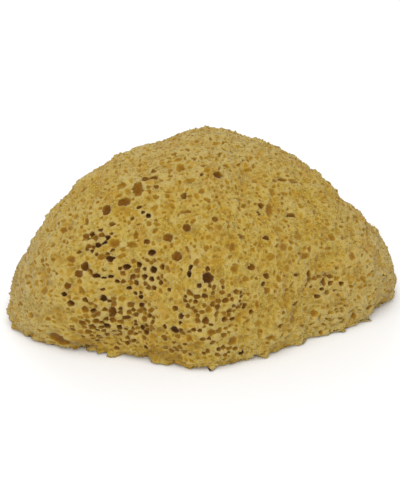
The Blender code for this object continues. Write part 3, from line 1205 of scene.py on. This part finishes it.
@dataclass
class Tufts:
    """Thousands of small tufts, each a real shape, scattered over the skin between its pores."""

    name: str
    shape: TuftShape
    width: float
    height: float
    per_mm2: float
    apart: float
    tilt: float  # the most that one leans, in radians
    scale: tuple[float, float]
    seed: int
    sunk: float  # how much of its height stands in the skin
    lowest_relief: float = -0.8  # in millimetres: none stands in a deeper hollow than this
    highest_rim: float = 0.2  # and none this near to the rim of a pore
    above_floor: float = 0.0012
    stump: float = 0.5  # share of its height below the point
    looks_up: float = 0.9  # the stump's top is the face whose normal's z is above this

    def model_one(self) -> bpy.types.Object:
        """Models one tuft, standing on the origin: a short stump drawn out to a leaning point.

        Returns:
            Its object.
        """
        only()
        make = self.shape.value
        bpy.ops.mesh.primitive_cone_add(
            vertices=make.sides, radius1=self.width / 2, radius2=self.width * make.waist,
            depth=self.height * self.stump, location=(0, 0, self.height * (self.stump / 2 - self.sunk)),
        )
        bpy.ops.object.transform_apply(location=True, rotation=False, scale=False)
        tuft = bpy.context.object
        tuft.name = self.name + "_one"
        select_none("FACE")
        for face in tuft.data.polygons:
            face.select = face.normal.z > self.looks_up
        bpy.ops.object.mode_set(mode="EDIT")
        tip = (self.width * make.lean, 0, self.height * (1 - self.stump))
        bpy.ops.mesh.extrude_region_move(TRANSFORM_OT_translate={"value": tip})
        bpy.ops.mesh.merge(type="CENTER")
        bpy.ops.object.mode_set(mode="OBJECT")
        bpy.ops.object.shade_smooth()
        heights = [vertex.co.z / self.height + self.sunk for vertex in tuft.data.vertices]
        tuft.data.attributes.new("tip", "FLOAT", "POINT").data.foreach_set("value", heights)
        return tuft

    def scatter(self, body: bpy.types.Object) -> bpy.types.Object:
        """Scatters the tuft over the skin and makes one mesh of them all.

        Args:
            body: the skin, with its relief attribute.

        Returns:
            The finished mesh object.
        """
        tuft = self.model_one()
        mesh = bpy.data.meshes.new(self.name)
        obj = bpy.data.objects.new(self.name, mesh)
        bpy.context.scene.collection.objects.link(obj)
        modifier = obj.modifiers.new("scatter", "NODES")
        modifier.node_group = self.scatter_group(body, tuft)
        only(obj)
        bpy.ops.object.modifier_apply(modifier="scatter")
        bpy.data.objects.remove(tuft)
        obj.data.materials.clear()
        for vertex in obj.data.vertices:
            vertex.co.z = max(vertex.co.z, 0)
        return obj

    def scatter_group(self, body: bpy.types.Object, tuft: bpy.types.Object) -> bpy.types.NodeTree:
        """Makes the geometry nodes that scatter the tuft.

        Args:
            body: the skin.
            tuft: what is scattered.

        Returns:
            The node group.
        """
        group = bpy.data.node_groups.new(self.name + "_scatter", "GeometryNodeTree")
        group.interface.new_socket("Geometry", in_out="OUTPUT", socket_type="NodeSocketGeometry")
        add = NodeShop(group).node

        def spread(low: tuple, high: tuple, seed: int) -> bpy.types.NodeSocket:
            """Adds a random vector for each tuft."""
            settings = {"data_type": "FLOAT_VECTOR"}
            made = add("FunctionNodeRandomValue", settings, {"Min": low, "Max": high, "Seed": seed})
            return made.outputs["Value"]

        def held(name: str) -> bpy.types.NodeSocket:
            """Reads a number that the skin's vertices hold."""
            made = add("GeometryNodeInputNamedAttribute", {"data_type": "FLOAT"}, {"Name": name})
            return next(s for s in made.outputs if s.enabled and s.name == "Attribute")

        skin = add("GeometryNodeObjectInfo", {"transform_space": "RELATIVE"}, {"Object": body})
        one = add("GeometryNodeObjectInfo", {}, {"Object": tuft})
        split = add("ShaderNodeSeparateXYZ", {}, {"Vector": add("GeometryNodeInputPosition").outputs[0]})
        tests = (
            ("GREATER_THAN", held("relief"), self.lowest_relief),
            ("LESS_THAN", held("rim"), self.highest_rim),
            ("GREATER_THAN", split.outputs["Z"], self.above_floor),
        )
        where = 1.0
        for operation, value, limit in tests:
            test = add("ShaderNodeMath", {"operation": operation}, {"Value": value, "Value_001": limit})
            both = {"Value": test.outputs[0], "Value_001": where}
            where = add("ShaderNodeMath", {"operation": "MULTIPLY"}, both).outputs[0]
        points = add(
            "GeometryNodeDistributePointsOnFaces", {"distribute_method": "POISSON"},
            {
                "Mesh": skin.outputs["Geometry"], "Distance Min": self.apart,
                "Density Max": self.per_mm2 / MM**2, "Density Factor": where, "Seed": self.seed,
            },
        )
        placed = add(
            "GeometryNodeInstanceOnPoints", {},
            {
                "Points": points.outputs["Points"], "Instance": one.outputs["Geometry"],
                "Rotation": points.outputs["Rotation"],
                "Scale": spread((self.scale[0],) * 3, (self.scale[1],) * 3, self.seed + 1),
            },
        )
        leaned = spread((-self.tilt, -self.tilt, 0), (self.tilt, self.tilt, math.tau), self.seed + 2)
        turned = add(
            "GeometryNodeRotateInstances", {}, {"Instances": placed.outputs[0], "Rotation": leaned}
        )
        real = add("GeometryNodeRealizeInstances", {}, {"Geometry": turned.outputs[0]})
        output = add("NodeGroupOutput")
        group.links.new(real.outputs[0], output.inputs[0])
        return group


@dataclass(frozen=True)
class FloorFinish:
    """A plain pale floor."""

    colour: Colour = (0.86, 0.86, 0.86)
    roughness: float = 0.9
    specular: float = 0.1
    grain_size: float = 0.002
    bump_depth: float = 0.00001

    def make(self) -> bpy.types.Material:
        """Makes the material, with a faint grain.

        Returns:
            The material.
        """
        shop = Shop("floor_paper")
        grain = shop.noise(shop.place(), self.grain_size)
        shop.finish(self.colour, self.roughness, grain, self.bump_depth, Specular_IOR_Level=self.specular)
        return shop.material


@dataclass(frozen=True)
class SoftBox:
    """One large soft light, aimed at the sponge."""

    name: str
    place: tuple[float, float, float]
    size: float
    watts: float

    def add(self, target: Vector) -> None:
        """Adds the light.

        Args:
            target: what it is aimed at.
        """
        data = bpy.data.lights.new(self.name, "AREA")
        data.shape = "DISK"
        data.size = self.size
        data.energy = self.watts
        light = bpy.data.objects.new(self.name, data)
        light.location = self.place
        light.rotation_euler = (target - light.location).to_track_quat("-Z", "Y").to_euler()
        bpy.context.scene.collection.objects.link(light)


@dataclass
class Studio:
    """The floor, the lights and the white surroundings."""

    floor_size: float = 40.0
    sky: float = 0.68
    aim: tuple[float, float, float] = (0.0, 0.0, 0.03)  # what the lights are aimed at
    lights: tuple[SoftBox, ...] = (
        SoftBox("light_above", (-0.2, -0.9, 3.3), 3.6, 56.0),
        SoftBox("light_front", (-0.2, -3.3, 1.8), 2.7, 52.0),
        SoftBox("light_back", (-0.6, 3.3, 1.5), 2.7, 38.0),
    )

    def build(self) -> None:
        """Sets the studio up."""
        only()
        bpy.ops.mesh.primitive_plane_add(size=self.floor_size)
        floor = bpy.context.object
        floor.name = "floor"
        floor.data.materials.append(FloorFinish().make())
        for light in self.lights:
            light.add(Vector(self.aim))
        world = bpy.data.worlds.new("white_room")
        world.use_nodes = True
        surroundings = world.node_tree.nodes["Background"]
        surroundings.inputs["Color"].default_value = (1.0, 1.0, 1.0, 1.0)
        surroundings.inputs["Strength"].default_value = self.sky
        bpy.context.scene.world = world
        bpy.context.scene.view_settings.view_transform = "Standard"
        bpy.context.scene.view_settings.look = "None"


CRUMBS = Tufts(
    name="sponge_crumbs", shape=TuftShape.CRUMB, width=0.00140, height=0.00100, per_mm2=0.9, apart=0.00125,
    tilt=0.6, scale=(0.5, 1.25), seed=3, sunk=0.40,
)
STRANDS = Tufts(
    name="sponge_strands", shape=TuftShape.STRAND, width=0.00026, height=0.0012, per_mm2=0.5, apart=0.0010,
    tilt=1.25, scale=(0.6, 1.3), seed=8, sunk=0.1,
)


def report(piece: bpy.types.Object) -> None:
    """Logs how many triangles a piece has."""
    log.info("%s: %d triangles", piece.name, sum(len(face.vertices) - 2 for face in piece.data.polygons))


def main() -> None:
    """Builds the sponge and its studio."""
    logging.basicConfig(level=logging.INFO, format="%(message)s")
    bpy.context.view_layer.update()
    view = PhotoView()
    skin = PoredSkin(DomeForm(), view)
    body = skin.build()
    view.add_camera()
    body.data.materials.append(SkinFinish().make())
    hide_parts(NODE)
    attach(body, "root")
    report(body)
    for tufts in (CRUMBS, STRANDS):
        piece = tufts.scatter(body)
        piece.data.materials.append(TuftFinish(tufts.name).make())
        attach(piece, "root")
        report(piece)
    Studio().build()


if __name__ == "__main__":
    main()
